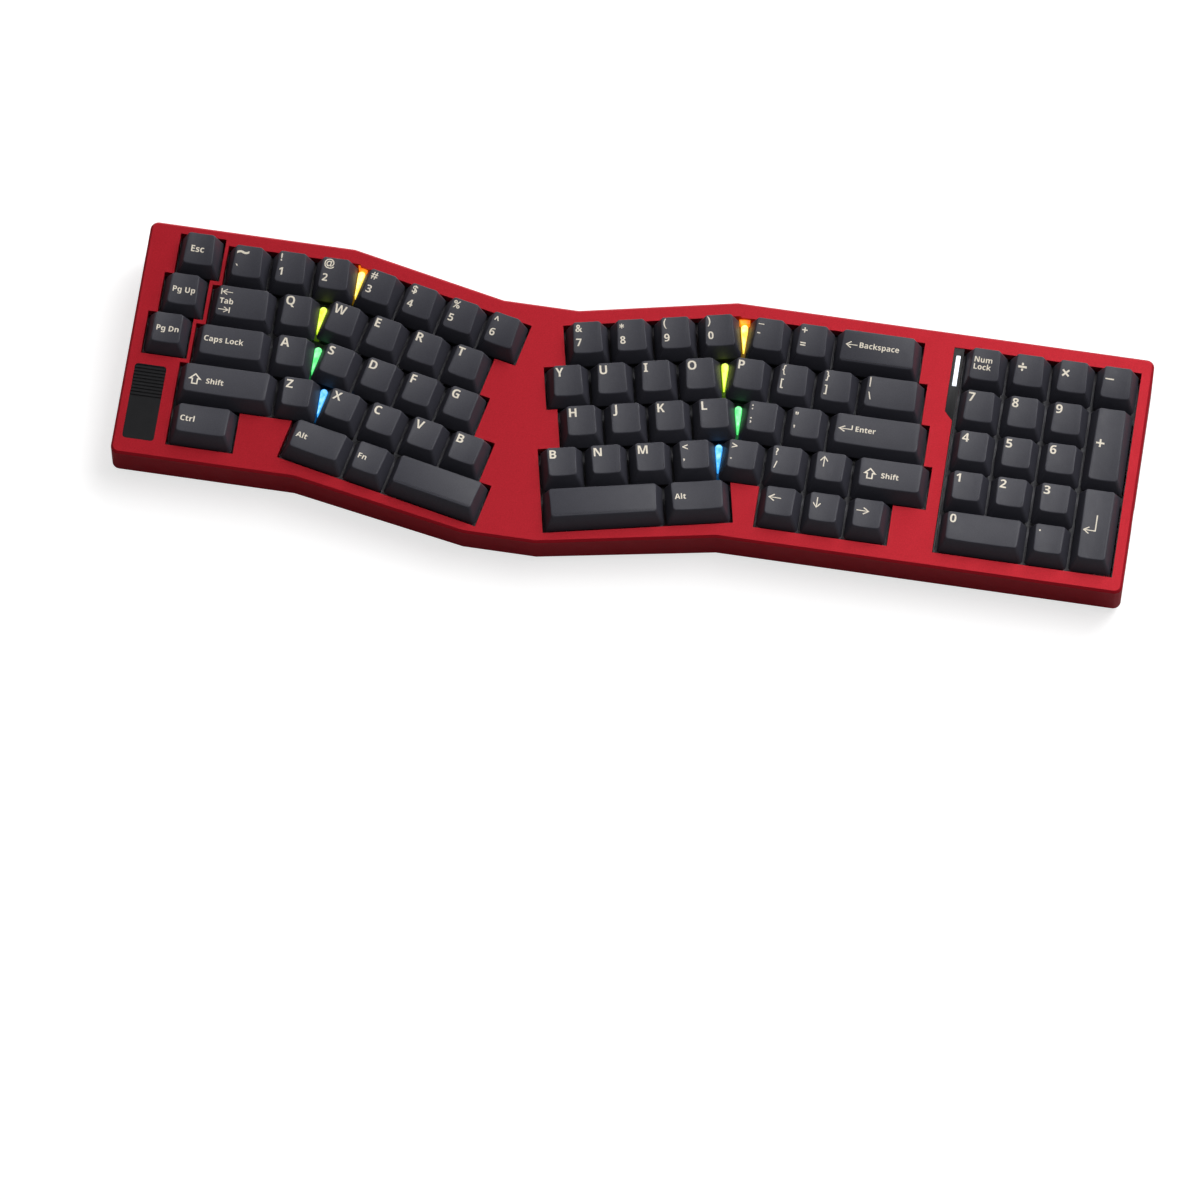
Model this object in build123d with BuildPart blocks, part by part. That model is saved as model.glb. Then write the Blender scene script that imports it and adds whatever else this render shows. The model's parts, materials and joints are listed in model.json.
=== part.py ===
from build123d import *
import math
import os
from collections import namedtuple

os.makedirs("parts", exist_ok=True)

# All sizes are in millimetres and degrees. The deck is the case's sloping top face. Its x runs to
# the right from the case's left side, its y runs to the rear from the middle of the rows, and
# depths are measured down from it along its normal.

# Key grid
unit = 19.05
row_count = 5
key_travel = 3.6
cap_gap = 1.0
opening_clearance = 0.5
opening_overlap = 3.0
wedge_rows = 4

# Where the key blocks stand, from left to right
left_margin = 6.1
left_row_step = 4.0
page_lift = 2.75
page_gap = 2.45
fan_angle = 12.0
left_fan_meeting = (-0.92, -1.2)
fan_gap = 0.17
right_fan_meeting = (-0.35, 0.95)
right_row_step = 3.73
number_gap = 7.11
right_margin = 5.5
edge_margin = 7.375

# Case seen from above: a shallow V in the rear edge and a nose in the front edge
dip_depth = 14.0
dip_half_widths = (84.0, 16.5)
dip_offset = -4.1
nose_depth = 14.2
nose_half_widths = (92.0, 16.0)
nose_offset = -5.4
corner_radius = 3.5
edge_chamfer = 1.0

# Case seen from the side
typing_angle = 6.5
base_thickness = 4.5
rim_lift = 2.5
top_thickness = 5.0
wall = 2.5
seat_fit = 0.05
foot_height = 1.5

# Layers under the deck, from the top down
gasket_thickness = 3.0
plate_thickness = 1.5
board_thickness = 1.6
foam_thickness = 1.4
layer_gap = 0.9

# Key caps: a height and a lean of the top for each row, from the digits to the space bars
skirt_depth = 1.5
cap_heights = (9.4, 7.7, 7.5, 8.0, 7.9)
cap_leans = (8.0, 5.0, 1.0, -4.0, -5.0)
cap_wall = 1.5
cap_roof = 2.5
side_draft = 2.9
rear_draft = 1.25
front_draft = 3.35
dish_depth = 0.36
crown_height = 0.35

# Switches
cutout_size = 14.0
housing_fit = 0.05
flange_size = 15.6
tower_size = 11.0
tower_height = 6.6
bore_floor = 1.0
bore_margin = 1.4
slider_size = 6.4
slider_fit = 0.05
slider_reach = 5.5

# Stabilisers of the caps that are two units or longer
stabiliser_spacing = 23.8
stabiliser_width = 7.0
stabiliser_front = 8.0
stabiliser_rear = 5.4
stabiliser_rise = 2.4
stabiliser_slider = 4.6
wire_radius = 0.8
wire_arm = 7.0

# Underside
wedge_front = -5.0
base_gap = 0.6
base_radius = 2.5
base_chamfer = 0.8
arm_width = 10.2
recess_rear = 21.0
recess_ramp = 2.3
recess_radius = 3.0
recess_roof = 1.2
bar_base = 1.0
bar_fit = 0.1
rib_count = 6
rib_pitch = 3.2
rib_width = 1.7
rib_height = 1.5
last_rib_width = 0.5
foot_leg = 15.0
foot_bevel = 1.5
rear_foot_inset = (3.0, 3.0)
front_foot_inset = (6.4, 4.6)
pad_half_widths = (28.75, 16.0)
pad_inset = 7.6
pad_bevel = 3.6
pad_side = 2.0
pad_height = 1.0
scoop_radius = 12.0
scoop_depth = 1.6
scoop_height = 9.0
scoop_offset = 4.5

# Trim on the deck
badge_width = 13.8
badge_length = 35.2
badge_inset = (4.1, 7.5)
badge_radius = 1.5
badge_depth = 1.2
groove_count = 10
groove_pitch = 1.58
groove_width = 0.8
groove_depth = 0.4
trim_width = 4.5
trim_length = 30.3
trim_bevel = 4.0
trim_strip = 0.8
trim_depth = 4.0
trim_sink = 0.3
lens_width = 1.9
lens_length = 14.4
lens_depth = 1.5
lens_inset = (2.2, 10.7)

# Light guides between the straight blocks and the fans
guide_start = 2.0
guide_length = 13.5
guide_widths = (3.3, 1.2)
guide_height = 2.6

# Socket for the cable
socket_width = 9.0
socket_height = 3.2
socket_length = 7.3
socket_wall = 0.3
socket_back = 1.0
socket_set_back = 1.0
tongue_width = 6.6
tongue_height = 0.7
plug_gap = (2.0, 2.15)

# Screws under the feet and the pad, and the gasket strips
screw_radius = 1.2
screw_length = 8.0
screw_fit = 0.05
screw_sides = 12
head_radius = 1.9
head_height = 1.6
boss_size = 5.2
boss_inset = (5.5, 5.2)
nose_boss_inset = 10.3
nose_boss_spacing = 11.0
rear_screw_grip = 4.0
nose_head_sink = 0.65
gasket_width = 3.0
gasket_length = 30.0
gasket_inset = 4.8
left_gasket = 50.0
right_gaskets = (135.0, 42.0)

# Depths of the layers
plate_depth = top_thickness + gasket_thickness
bore_depth = skirt_depth + slider_reach + key_travel + bore_margin
board_depth = bore_depth + bore_floor
foam_depth = board_depth + board_thickness
floor_depth = foam_depth + foam_thickness
bar_depth = floor_depth + recess_roof
front_height = floor_depth + base_thickness

Key = namedtuple("Key", "node field x y width depth row")
Span = namedtuple("Span", "field left right rear front")
keys = []
spans = []


def row_y(row):
    return ((row_count - 1) / 2 - row) * unit


def fan_y(row):
    """The middle of a fan's row. A fan's origin is the front outer corner of its first row."""
    return unit / 2 - row * unit


def row_length(caps):
    return sum(width for _, width in caps) * unit


def lay_row(field, row, y, left, caps):
    """Lays caps side by side from a left edge. Each cap is its node and its width in units."""
    x = left
    for node, width in caps:
        keys.append(Key(node, field, x + width * unit / 2, y, width, 1, row))
        x += width * unit
    span = Span(field, left, x, y + unit / 2, y - unit / 2)
    spans.append(span)
    return span


def lay_tall(node, x, row):
    """Lays one cap as deep as two rows, from this row forward."""
    middle = row_y(row + 0.5)
    keys.append(Key(node, straight, x, middle, 1, 2, row))
    spans.append(Span(straight, x - unit / 2, x + unit / 2, middle + unit, middle - unit))


straight = Location((0, 0, 0))

# Page column
page_nodes = ("key_escape", "key_page_up", "key_page_down")
page_edges = [left_margin + (len(page_nodes) - 1 - row) * left_row_step for row in range(3)]
for row, node in enumerate(page_nodes):
    lay_row(straight, row, row_y(row) + page_lift, page_edges[row], [(node, 1)])

# Left block: every row but the last steps to the left
left_block = (
    [("keys_tilde_1_2", 1)] * 3,
    [("key_tab", 1.5), ("key_q", 1)],
    [("key_caps_lock", 1.75), ("key_a", 1)],
    [("key_shift_left", 2.25), ("key_z", 1)],
    [("key_ctrl", 1.5)],
)
left_block_edge = page_edges[0] + unit + page_gap
left_spans = [
    lay_row(straight, row, row_y(row), left_block_edge - min(row, 3) * left_row_step, caps)
    for row, caps in enumerate(left_block)
]

# Left fan, turned about the corner where it meets the left block
left_fan = Location(
    (left_spans[0].right + left_fan_meeting[0], left_spans[0].front + left_fan_meeting[1], 0),
    (0, 0, -fan_angle),
)
left_fan_rows = (
    [("keys_3_to_6", 1)] * 4,
    [("keys_w_to_t", 1)] * 4,
    [("keys_s_to_g", 1)] * 4,
    [("keys_x_to_b", 1)] * 4,
    [("key_alt_left", 1.5), ("key_meta", 1), ("key_space_left", 2.25)],
)
left_fan_stagger = (0, -0.5, -0.25, 0.25, -0.2)
left_fan_spans = [
    lay_row(left_fan, row, fan_y(row), left_fan_stagger[row] * unit, caps)
    for row, caps in enumerate(left_fan_rows)
]

# Right fan, turned the other way
right_fan_rows = (
    [("keys_7_to_0", 1)] * 4,
    [("keys_y_to_o", 1)] * 4,
    [("keys_h_to_l", 1)] * 4,
    [("keys_b_to_comma", 1)] * 4,
    [("key_space_right", 2.75), ("key_alt_right", 1.5)],
)
fan_corners = sum(len(rows[0]) for rows in (left_fan_rows, right_fan_rows)) + 1
right_fan_x = left_fan.position.X + fan_corners * unit + fan_gap
right_fan = Location((right_fan_x, left_spans[0].front + right_fan_meeting[1], 0), (0, 0, fan_angle))
right_fan_stagger = (0, -0.5, -0.25, -0.75, -0.75)
right_fan_spans = [
    lay_row(
        right_fan, row, fan_y(row), right_fan_stagger[row] * unit - row_length(right_fan_rows[0]), caps
    )
    for row, caps in enumerate(right_fan_rows)
]

# Right block
right_block = (
    [("keys_minus_equals", 1)] * 2 + [("key_backspace", 2)],
    [("keys_p_to_bracket", 1)] * 3 + [("key_backslash", 1.5)],
    [("keys_semicolon_quote", 1)] * 2 + [("key_enter", 2.25)],
    [("keys_dot_slash_up", 1)] * 3 + [("key_shift_right", 1.75)],
    [("keys_arrows", 1)] * 3,
)
right_block_edge = right_fan_x - right_fan_meeting[0]
right_stagger = (0, -0.5, -0.25, -0.75, 0.25)
right_spans = [
    lay_row(
        straight,
        row,
        row_y(row),
        right_block_edge + right_stagger[row] * unit + min(row, 3) * right_row_step,
        caps,
    )
    for row, caps in enumerate(right_block)
]

# Number block
number_edge = max(span.right for span in right_spans) + number_gap
number_block = (
    [("keys_num_top", 1)] * 4,
    [("keys_num_7_8_9", 1)] * 3,
    [("keys_num_4_5_6", 1)] * 3,
    [("keys_num_1_2_3", 1)] * 3,
    [("key_num_0", 2), ("key_num_dot", 1)],
)
for row, caps in enumerate(number_block):
    lay_row(straight, row, row_y(row), number_edge, caps)
last_column = number_edge + row_length(number_block[0]) - unit / 2
lay_tall("key_num_plus", last_column, 1)
lay_tall("key_num_enter", last_column, 3)

# Size of the case and its place above the desk
case_width = last_column + unit / 2 + right_margin
side_depth = row_count * unit + 2 * edge_margin
rear_edge = side_depth / 2
front_edge = -rear_edge
dip_edge = rear_edge - dip_depth
nose_edge = front_edge - nose_depth
middle_x = (left_fan.position.X + right_fan.position.X) / 2
dip_centre = middle_x + dip_offset
nose_centre = middle_x + nose_offset

tilt = math.radians(typing_angle)
rear_height = front_height + side_depth * math.tan(tilt)
rear_reach = rear_edge * math.cos(tilt) + rear_height * math.sin(tilt)
front_reach = -nose_edge * math.cos(tilt) - edge_chamfer * math.sin(tilt)
reach = 2 * rear_height

deck = Plane(
    origin=(
        -case_width / 2,
        (front_reach - rear_reach) / 2,
        foot_height + rear_edge * math.sin(tilt) + front_height * math.cos(tilt),
    ),
    x_dir=(1, 0, 0),
    z_dir=(0, -math.sin(tilt), math.cos(tilt)),
)
base_plane = Plane.XY.offset(foot_height)
rim_plane = base_plane.offset(rim_lift)


def on_deck(x, y, depth, facing):
    """A plane through a point below the deck, turned to face along one of the deck's directions."""
    point = deck.from_local_coords((x, y, -depth))
    return Plane(origin=point, x_dir=deck.x_dir, z_dir=facing)


def seat(field, x, y, depth=0.0, turn=0.0):
    """The place of a point of a key field, that far below the deck."""
    return deck.location * field * Location((x, y, -depth), (0, 0, turn))


def underside_y(y):
    """Where a wall that leaves the deck at y meets the underside."""
    depth = front_height + (y - front_edge) * math.tan(tilt)
    return deck.origin.Y + y * math.cos(tilt) + depth * math.sin(tilt)


def case_outline(plane, inset=0.0, radius=0.0):
    """The case's outline on a plane parallel to the deck, drawn in by an inset."""
    corners = (
        (0, front_edge),
        (nose_centre - nose_half_widths[0], front_edge),
        (nose_centre - nose_half_widths[1], nose_edge),
        (nose_centre + nose_half_widths[1], nose_edge),
        (nose_centre + nose_half_widths[0], front_edge),
        (case_width, front_edge),
        (case_width, rear_edge),
        (dip_centre + dip_half_widths[0], rear_edge),
        (dip_centre + dip_half_widths[1], dip_edge),
        (dip_centre - dip_half_widths[1], dip_edge),
        (dip_centre - dip_half_widths[0], rear_edge),
        (0, rear_edge),
    )
    with BuildSketch(plane) as outline:
        with BuildLine():
            Polyline(*corners, close=True)
        make_face()
        if inset:
            offset(amount=-inset, kind=Kind.INTERSECTION, mode=Mode.REPLACE)
        if radius:
            ends = outline.vertices().group_by(Axis.X)
            fillet(ends[0] + ends[-1], radius)
    return outline.sketch


# Screw bosses: two in the rear corners and two in the nose
boss_spots = [
    (boss_inset[0], rear_edge - boss_inset[1]),
    (case_width - boss_inset[0], rear_edge - boss_inset[1]),
    (nose_centre - nose_boss_spacing / 2, nose_edge + nose_boss_inset),
    (nose_centre + nose_boss_spacing / 2, nose_edge + nose_boss_inset),
]
rear_screws = boss_spots[:2]
nose_screws = boss_spots[2:]
nose_height = front_height + (nose_boss_inset - nose_depth) * math.tan(tilt)
nose_screw_grip = nose_height - floor_depth - head_height - nose_head_sink


def layer(depth, thickness):
    """A sheet inside the walls, cut back round the screw bosses."""
    plane = deck.offset(-depth)
    with BuildPart() as sheet:
        extrude(case_outline(plane, wall + layer_gap), amount=-thickness)
        with BuildSketch(plane):
            with Locations(*boss_spots):
                Rectangle(boss_size + 2 * layer_gap, boss_size + 2 * layer_gap)
        extrude(amount=-thickness, mode=Mode.SUBTRACT)
    return sheet.part


def stabiliser_places(key):
    """The two stabilisers of a cap of two units or more, in the cap's own x, y and turn."""
    half = stabiliser_spacing / 2
    if key.width >= 2:
        return [(-half, 0, 0), (half, 0, 0)]
    if key.depth >= 2:
        return [(0, -half, 90), (0, half, 90)]
    return []


# Key caps, each with the slider that runs in its switch. A cap stands on its own centre.


def cap_body(width, depth, height, lean, crowned):
    """The sculpted outside of a cap: a front profile crossed with a side profile."""
    slope = math.tan(math.radians(lean))
    shift = (front_draft - rear_draft) / 2
    front_share = (height - slope * (depth / 2 + shift)) / (height - slope * front_draft)
    rear_share = (height + slope * (depth / 2 - shift)) / (height + slope * rear_draft)
    front_top = (-depth / 2 + front_draft * front_share, height * front_share - skirt_depth)
    rear_top = (depth / 2 - rear_draft * rear_share, height * rear_share - skirt_depth)
    full = max(front_share, rear_share) + crown_height / height
    half = width / 2
    half_top = half - side_draft

    with BuildPart() as cap:
        with BuildSketch(Plane.XZ):
            with BuildLine():
                Polyline(
                    (-half, -skirt_depth),
                    (half, -skirt_depth),
                    (half - side_draft * full, height * full - skirt_depth),
                    (-half + side_draft * full, height * full - skirt_depth),
                    close=True,
                )
            make_face()
        extrude(amount=depth, both=True)
        with BuildSketch(Plane.YZ):
            with BuildLine():
                Polyline(front_top, (-depth / 2, -skirt_depth), (depth / 2, -skirt_depth), rear_top)
                if crowned:
                    crest = ((front_top[0] + rear_top[0]) / 2, height - skirt_depth + crown_height)
                    ThreePointArc(front_top, crest, rear_top)
                else:
                    Line(front_top, rear_top)
            make_face()
        extrude(amount=width, both=True, mode=Mode.INTERSECT)

        # A finger dish runs along every top but the space bars'
        if not crowned:
            rearward = Vector(0, 1, slope).normalized()
            top = Plane(origin=(0, shift, height - skirt_depth), x_dir=(1, 0, 0), z_dir=-rearward)
            radius = (half_top**2 + dish_depth**2) / (2 * dish_depth)
            edge = half_top + side_draft / 2
            rise = radius - math.sqrt(radius**2 - edge**2) - dish_depth
            with BuildSketch(top):
                with BuildLine():
                    ThreePointArc((-edge, rise), (0, -dish_depth), (edge, rise))
                    Polyline((edge, rise), (edge, height), (-edge, height), (-edge, rise))
                make_face()
            extrude(amount=depth, both=True, mode=Mode.SUBTRACT)
    return cap.part


def cap_hollow(width, depth, height):
    """The space inside a cap, with the same drafts as the outside."""
    share = (height - cap_roof) / height
    half = width / 2 - cap_wall
    top = height - cap_roof - skirt_depth
    with BuildPart() as hollow:
        with BuildSketch(Plane.XZ):
            with BuildLine():
                Polyline(
                    (-half, -skirt_depth),
                    (half, -skirt_depth),
                    (half - side_draft * share, top),
                    (-half + side_draft * share, top),
                    close=True,
                )
            make_face()
        extrude(amount=depth, both=True)
        with BuildSketch(Plane.YZ):
            with BuildLine():
                Polyline(
                    (-depth / 2 + cap_wall, -skirt_depth),
                    (depth / 2 - cap_wall, -skirt_depth),
                    (depth / 2 - cap_wall - rear_draft * share, top),
                    (-depth / 2 + cap_wall + front_draft * share, top),
                    close=True,
                )
            make_face()
        extrude(amount=width, both=True, mode=Mode.INTERSECT)
    return hollow.part


def keycap(key):
    width = key.width * unit - cap_gap
    depth = key.depth * unit - cap_gap
    height = cap_heights[key.row]
    crowned = "space" in key.node
    ceiling = height - cap_roof
    with BuildPart() as cap:
        add(cap_body(width, depth, height, cap_leans[key.row] / key.depth, crowned))
        add(cap_hollow(width, depth, height), mode=Mode.SUBTRACT)
        with BuildSketch(Plane.XY.offset(ceiling - skirt_depth)):
            Rectangle(slider_size, slider_size)
            for x, y, _ in stabiliser_places(key):
                with Locations((x, y)):
                    Rectangle(stabiliser_slider, stabiliser_slider)
        extrude(amount=-ceiling - slider_reach)
    return cap.part


groups = {}
for key in keys:
    groups.setdefault(key.node, []).append(key)

shapes = {}
for node, group in groups.items():
    first = group[0]
    kind = (first.width, first.depth, first.row, "space" in node)
    if kind not in shapes:
        shapes[kind] = keycap(first)
    with BuildPart() as key_group:
        with Locations(*[seat(key.field, key.x, key.y) for key in group]):
            add(shapes[kind])
    key_group.part.label = node
    export_step(key_group.part, f"parts/{node}.step")

# Top case: the deck with its stepped key openings, and the walls down to the rim
with BuildPart() as top_case:
    extrude(case_outline(deck, radius=corner_radius), amount=-reach)
    split(bisect_by=rim_plane, keep=Keep.TOP)
    deck_face = top_case.faces().sort_by(Axis(deck.origin, deck.z_dir))[-1]
    chamfer(deck_face.edges(), edge_chamfer)
    extrude(case_outline(deck.offset(-top_thickness), wall), amount=-reach, mode=Mode.SUBTRACT)

    # Key openings follow the rows' stepped outline, and run on across the wedges beside the fans
    with BuildSketch(deck):
        for span in spans:
            centre = ((span.left + span.right) / 2, (span.rear + span.front) / 2, 0)
            with Locations(span.field * Location(centre)):
                Rectangle(
                    span.right - span.left + 2 * opening_clearance,
                    span.rear - span.front + 2 * opening_clearance,
                )
        for blocks, fans, side in ((left_spans, left_fan_spans, 1), (right_spans, right_fan_spans, -1)):
            for row in range(wedge_rows):
                block, fan = blocks[row], fans[row]
                rear = opening_clearance if row == 0 else opening_overlap
                front = opening_clearance if row == wedge_rows - 1 else opening_overlap
                block_x = block.right - opening_overlap if side > 0 else block.left + opening_overlap
                fan_x = fan.left + opening_overlap if side > 0 else fan.right - opening_overlap
                fan_rear = fan.field * Location((fan_x, fan.rear + rear, 0))
                fan_front = fan.field * Location((fan_x, fan.front - front, 0))
                with BuildLine():
                    Polyline(
                        (block_x, block.rear + rear),
                        (fan_rear.position.X, fan_rear.position.Y),
                        (fan_front.position.X, fan_front.position.Y),
                        (block_x, block.front - front),
                        close=True,
                    )
                make_face()
    extrude(amount=-top_thickness, mode=Mode.SUBTRACT)

    # Ledge for the black trim beside the number block
    trim_right = number_edge - opening_clearance
    trim_rear = row_y(0) + unit / 2 + opening_clearance
    trim_front = row_y(row_count - 1) - unit / 2 - opening_clearance
    trim_corners = (
        (trim_right - trim_width, trim_rear),
        (trim_right, trim_rear),
        (trim_right, trim_front),
        (trim_right - trim_strip, trim_front),
        (trim_right - trim_strip, trim_rear - trim_length - trim_bevel),
        (trim_right - trim_width, trim_rear - trim_length),
    )
    with BuildSketch(deck):
        with BuildLine():
            Polyline(*trim_corners, close=True)
        make_face()
    extrude(amount=-trim_depth - trim_sink, mode=Mode.SUBTRACT)

    # Pocket for the ridged panel
    badge_centre = (badge_inset[0] + badge_width / 2, front_edge + badge_inset[1] + badge_length / 2)
    with BuildSketch(deck):
        with Locations(badge_centre):
            RectangleRounded(badge_width, badge_length, badge_radius)
    extrude(amount=-badge_depth, mode=Mode.SUBTRACT)

    # Screw bosses with blind holes
    with BuildSketch(deck.offset(-floor_depth)):
        with Locations(*boss_spots):
            Rectangle(boss_size, boss_size)
    extrude(amount=floor_depth - top_thickness)
    with BuildSketch(deck.offset(-floor_depth)):
        with Locations(*boss_spots):
            RegularPolygon(screw_radius + screw_fit, screw_sides)
    extrude(amount=floor_depth - plate_depth, mode=Mode.SUBTRACT)

    # Way in for the plug
    plug_depth = board_depth - socket_height / 2
    plug_size = (socket_width + 2 * plug_gap[0], socket_height + 2 * plug_gap[1])
    with BuildSketch(on_deck(dip_centre, dip_edge - wall, plug_depth, deck.y_dir)):
        SlotOverall(*plug_size)
    extrude(amount=2 * wall, mode=Mode.SUBTRACT)

    # Finger scoops low in both sides, just in front of the wedge
    scoop_y = wedge_front - scoop_offset
    scoop_top = front_height + (scoop_y - front_edge) * math.tan(tilt) - scoop_height
    scoop_shift = scoop_radius - scoop_depth
    with BuildSketch(deck.offset(-scoop_top)):
        with Locations((-scoop_shift, scoop_y), (case_width + scoop_shift, scoop_y)):
            Circle(scoop_radius)
    extrude(amount=-reach, mode=Mode.SUBTRACT)

top_case.part.label = "top_case"
export_step(top_case.part, "parts/top_case.step")

# Bottom case: the rear wedge, flush with the walls above it, with a recess across its front
wedge_cut = on_deck(0, wedge_front, 0, deck.y_dir)
recess_half = case_width / 2 - arm_width
profile_origin = deck.from_local_coords((case_width / 2, 0, 0))
profile_plane = Plane(origin=profile_origin, x_dir=deck.y_dir, z_dir=(1, 0, 0))
recess_depth = front_height + (recess_rear - front_edge) * math.tan(tilt) - bar_depth
run_out = recess_ramp * rear_height / recess_depth

with BuildPart() as wedge_rim:
    extrude(case_outline(deck, radius=corner_radius), amount=-reach)
    split(bisect_by=rim_plane, keep=Keep.BOTTOM)

with BuildPart() as recess:
    with BuildSketch(profile_plane):
        with BuildLine():
            Polyline(
                (wedge_front - unit, -bar_depth),
                (recess_rear - recess_ramp, -bar_depth),
                (recess_rear - recess_ramp + run_out, -bar_depth - rear_height),
                (wedge_front - unit, -bar_depth - rear_height),
                close=True,
            )
        make_face()
    extrude(amount=recess_half, both=True)
    ramp = recess.faces().sort_by(Axis(deck.origin, deck.y_dir))[-1]
    fillet(ramp.edges().filter_by(Axis.X, reverse=True), recess_radius)

with BuildPart() as bottom_case:
    extrude(case_outline(deck.offset(-floor_depth), wall + seat_fit), amount=-reach)
    add(wedge_rim.part)
    split(bisect_by=base_plane, keep=Keep.TOP)
    split(bisect_by=wedge_cut, keep=Keep.TOP)
    add(recess.part, mode=Mode.SUBTRACT)
    with BuildSketch(deck.offset(-floor_depth)):
        with Locations(*rear_screws):
            RegularPolygon(screw_radius + screw_fit, screw_sides)
    extrude(amount=-rear_screw_grip, mode=Mode.SUBTRACT)
    with BuildSketch(deck.offset(-floor_depth - rear_screw_grip)):
        with Locations(*rear_screws):
            RegularPolygon(head_radius + screw_fit, screw_sides)
    extrude(amount=-reach, mode=Mode.SUBTRACT)

bottom_case.part.label = "bottom_case"
export_step(bottom_case.part, "parts/bottom_case.step")

# Base plate under the front half, a little proud of the rim
plate_cut = on_deck(0, wedge_front - base_gap, 0, deck.y_dir)
with BuildPart() as base_plate:
    extrude(case_outline(deck.offset(-floor_depth), wall + base_gap, base_radius), amount=-reach)
    split(bisect_by=plate_cut, keep=Keep.BOTTOM)
    split(bisect_by=base_plane, keep=Keep.TOP)
    underside = base_plate.faces().sort_by(Axis.Z)[0]
    chamfer(underside.edges(), base_chamfer)
    with BuildSketch(deck.offset(-floor_depth)):
        with Locations(*nose_screws):
            RegularPolygon(screw_radius + screw_fit, screw_sides)
    extrude(amount=-nose_screw_grip, mode=Mode.SUBTRACT)
    with BuildSketch(deck.offset(-floor_depth - nose_screw_grip)):
        with Locations(*nose_screws):
            RegularPolygon(head_radius + screw_fit, screw_sides)
    extrude(amount=-reach, mode=Mode.SUBTRACT)

base_plate.part.label = "base_plate"
export_step(base_plate.part, "parts/base_plate.step")

# Ribbed bar along the recess
bar_rear = recess_rear - recess_ramp - bar_fit
bar_front = wedge_front
bar_half = recess_half - bar_fit
with BuildPart() as ribbed_bar:
    with BuildSketch(profile_plane):
        with Locations(((bar_rear + bar_front) / 2, -bar_depth - bar_base / 2)):
            Rectangle(bar_rear - bar_front, bar_base)
        for rib in range(rib_count):
            rib_y = bar_rear - rib * rib_pitch - rib_width / 2
            with Locations((rib_y, -bar_depth - (bar_base + rib_height) / 2)):
                Rectangle(rib_width, bar_base + rib_height)
        last_rib_y = bar_rear - rib_count * rib_pitch - last_rib_width / 2
        with Locations((last_rib_y, -bar_depth - (bar_base + rib_height) / 2)):
            Rectangle(last_rib_width, bar_base + rib_height)
    extrude(amount=bar_half, both=True)
    with BuildSketch(deck.offset(-bar_depth)) as bar_plan:
        with Locations((case_width / 2, (bar_rear + bar_front) / 2)):
            Rectangle(2 * bar_half, bar_rear - bar_front)
        fillet(bar_plan.vertices().group_by(Axis.Y)[-1], recess_radius)
    extrude(amount=-bar_base - rib_height, mode=Mode.INTERSECT)

ribbed_bar.part.label = "ribbed_bar"
export_step(ribbed_bar.part, "parts/ribbed_bar.step")

# Feet: right-angled triangles in the four corners
rear_line = underside_y(rear_edge) - rear_foot_inset[1]
front_line = underside_y(front_edge + wall + base_gap) + front_foot_inset[1]
rear_side = case_width / 2 - rear_foot_inset[0]
front_side = case_width / 2 - wall - base_gap - front_foot_inset[0]
with BuildPart() as rubber_feet:
    with BuildSketch(base_plane) as feet_sketch:
        for x, y, leg in ((rear_side, rear_line, -foot_leg), (front_side, front_line, foot_leg)):
            for side in (-1, 1):
                with BuildLine():
                    Polyline(
                        (side * x, y), (side * (x - foot_leg), y), (side * x, y + leg), close=True
                    )
                make_face()
        chamfer(feet_sketch.vertices(), foot_bevel)
    extrude(amount=-foot_height)

rubber_feet.part.label = "rubber_feet"
export_step(rubber_feet.part, "parts/rubber_feet.step")

# Pad under the nose
pad_x = nose_centre - case_width / 2
pad_front = underside_y(nose_edge + pad_inset)
with BuildPart() as front_pad:
    with BuildSketch(base_plane):
        with BuildLine():
            Polyline(
                (pad_x - pad_half_widths[1], pad_front),
                (pad_x + pad_half_widths[1], pad_front),
                (pad_x + pad_half_widths[0], pad_front + pad_bevel),
                (pad_x + pad_half_widths[0], pad_front + pad_bevel + pad_side),
                (pad_x - pad_half_widths[0], pad_front + pad_bevel + pad_side),
                (pad_x - pad_half_widths[0], pad_front + pad_bevel),
                close=True,
            )
        make_face()
    extrude(amount=-pad_height)

front_pad.part.label = "front_pad"
export_step(front_pad.part, "parts/front_pad.step")

# Switch plate, with a cut-out for each switch and each stabiliser
switch_seats = [(key.field, key.x, key.y) for key in keys]
stabiliser_seats = [
    (key.field * Location((key.x, key.y, 0)), x, y, turn)
    for key in keys
    for x, y, turn in stabiliser_places(key)
]
stabiliser_depth = stabiliser_front + stabiliser_rear
stabiliser_middle = (stabiliser_rear - stabiliser_front) / 2
with BuildPart() as switch_plate:
    add(layer(plate_depth, plate_thickness))
    with BuildSketch(deck.offset(-plate_depth)):
        with Locations(*[field * Location((x, y, 0)) for field, x, y in switch_seats]):
            Rectangle(cutout_size, cutout_size)
        with Locations(
            *[
                field * Location((x, y, 0), (0, 0, turn)) * Location((0, stabiliser_middle, 0))
                for field, x, y, turn in stabiliser_seats
            ]
        ):
            Rectangle(stabiliser_width + 2 * housing_fit, stabiliser_depth + 2 * housing_fit)
    extrude(amount=-plate_thickness, mode=Mode.SUBTRACT)

switch_plate.part.label = "switch_plate"
export_step(switch_plate.part, "parts/switch_plate.step")

# Circuit board and the foam under it
circuit_board = layer(board_depth, board_thickness)
circuit_board.label = "circuit_board"
export_step(circuit_board, "parts/circuit_board.step")

case_foam = layer(foam_depth, foam_thickness)
case_foam.label = "case_foam"
export_step(case_foam, "parts/case_foam.step")

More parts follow.
